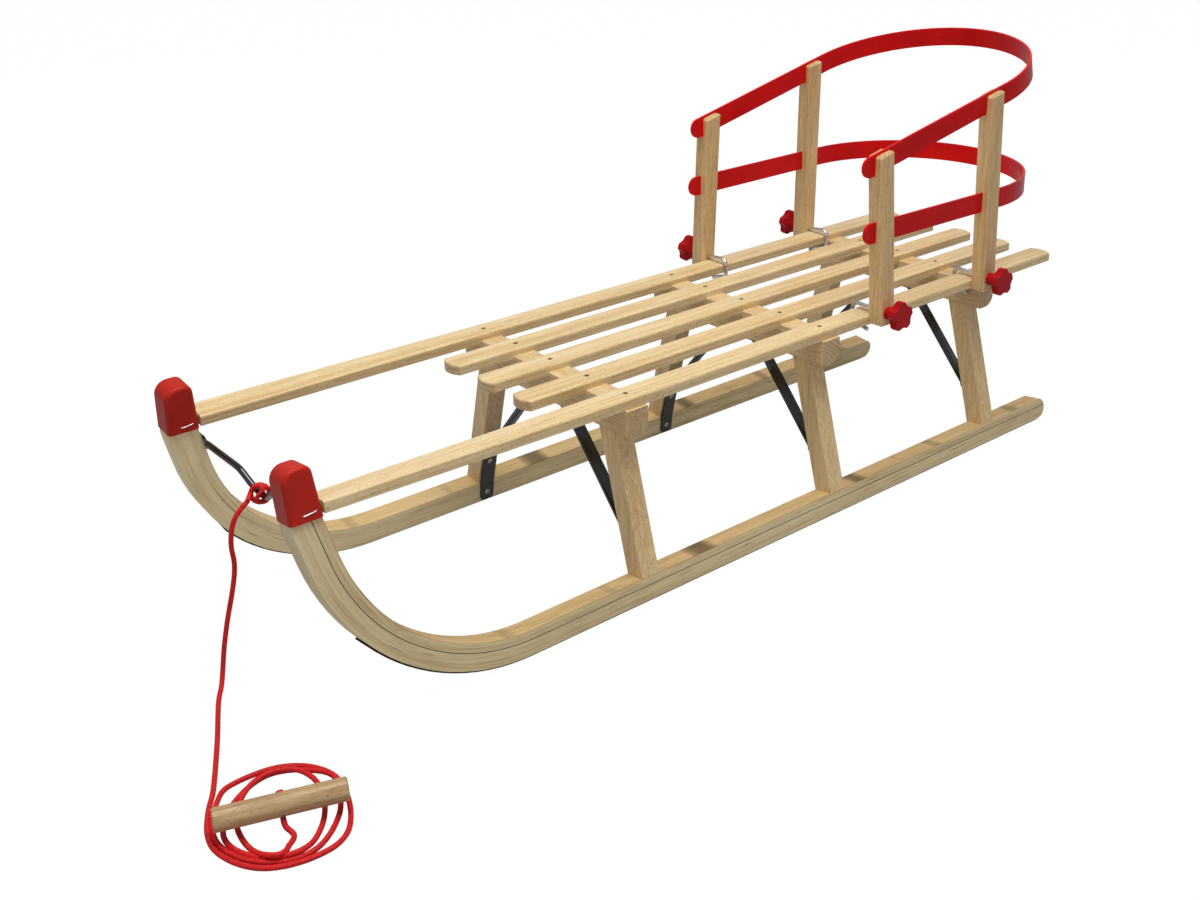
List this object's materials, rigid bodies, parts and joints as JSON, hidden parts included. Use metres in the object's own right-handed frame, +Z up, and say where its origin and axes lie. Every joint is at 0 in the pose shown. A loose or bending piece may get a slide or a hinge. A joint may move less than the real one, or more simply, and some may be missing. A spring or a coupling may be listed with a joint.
{
  "type": "wooden sled with backrest",
  "caption": "Wooden toboggan sled with bent runners, slatted seat, red runner caps, clip-on backrest bands and a pull cord with a wooden handle.",
  "frame": {"origin": "on the ground under the middle of the sled, pull cord left out", "axes": "+X forward towards the runner tips, +Y to the sled's left, +Z up"},
  "size_m": [1.2438, 0.4643, 0.4998],
  "materials": {
    "slat_wood": "clear lacquer",
    "beech": "clear lacquer",
    "ash": "laminated, clear lacquer",
    "post_wood": "clear lacquer",
    "handle_wood": "plain turned",
    "red_plastic": "gloss",
    "black_steel": "gloss black",
    "zinc_steel": "zinc plated",
    "shoe_steel": "bare strip",
    "red_cord": "braided cord"
  },
  "bodies": {
    "root": {"runner_left": "ash", "runner_shoe_left": "shoe_steel", "side_rail_left": "slat_wood", "tip_cap_left": "red_plastic", "runner_right": "ash", "runner_shoe_right": "shoe_steel", "side_rail_right": "slat_wood", "tip_cap_right": "red_plastic", "seat_slat_left": "slat_wood", "seat_slat_middle": "slat_wood", "seat_slat_right": "slat_wood", "crossbar_front": "beech", "leg_front_left": "beech", "strut_front_left": "black_steel", "leg_front_right": "beech", "strut_front_right": "black_steel", "crossbar_middle": "beech", "leg_middle_left": "beech", "strut_middle_left": "black_steel", "leg_middle_right": "beech", "strut_middle_right": "black_steel", "crossbar_rear": "beech", "leg_rear_left": "beech", "strut_rear_left": "black_steel", "leg_rear_right": "beech", "strut_rear_right": "black_steel", "pull_bar": "black_steel", "backrest_post_front_left": "post_wood", "hook_bolt_front_left": "zinc_steel", "star_knob_front_left": "red_plastic", "backrest_post_front_right": "post_wood", "hook_bolt_front_right": "zinc_steel", "star_knob_front_right": "red_plastic", "backrest_post_rear_left": "post_wood", "hook_bolt_rear_left": "zinc_steel", "star_knob_rear_left": "red_plastic", "backrest_post_rear_right": "post_wood", "hook_bolt_rear_right": "zinc_steel", "star_knob_rear_right": "red_plastic", "backrest_band_lower": "red_plastic", "backrest_band_top": "red_plastic", "pull_cord": "red_cord", "pull_cord_knot": "red_cord", "pull_cord_coil": "red_cord", "pull_cord_tail": "red_cord", "pull_handle": "handle_wood"}
  },
  "joints": []
}
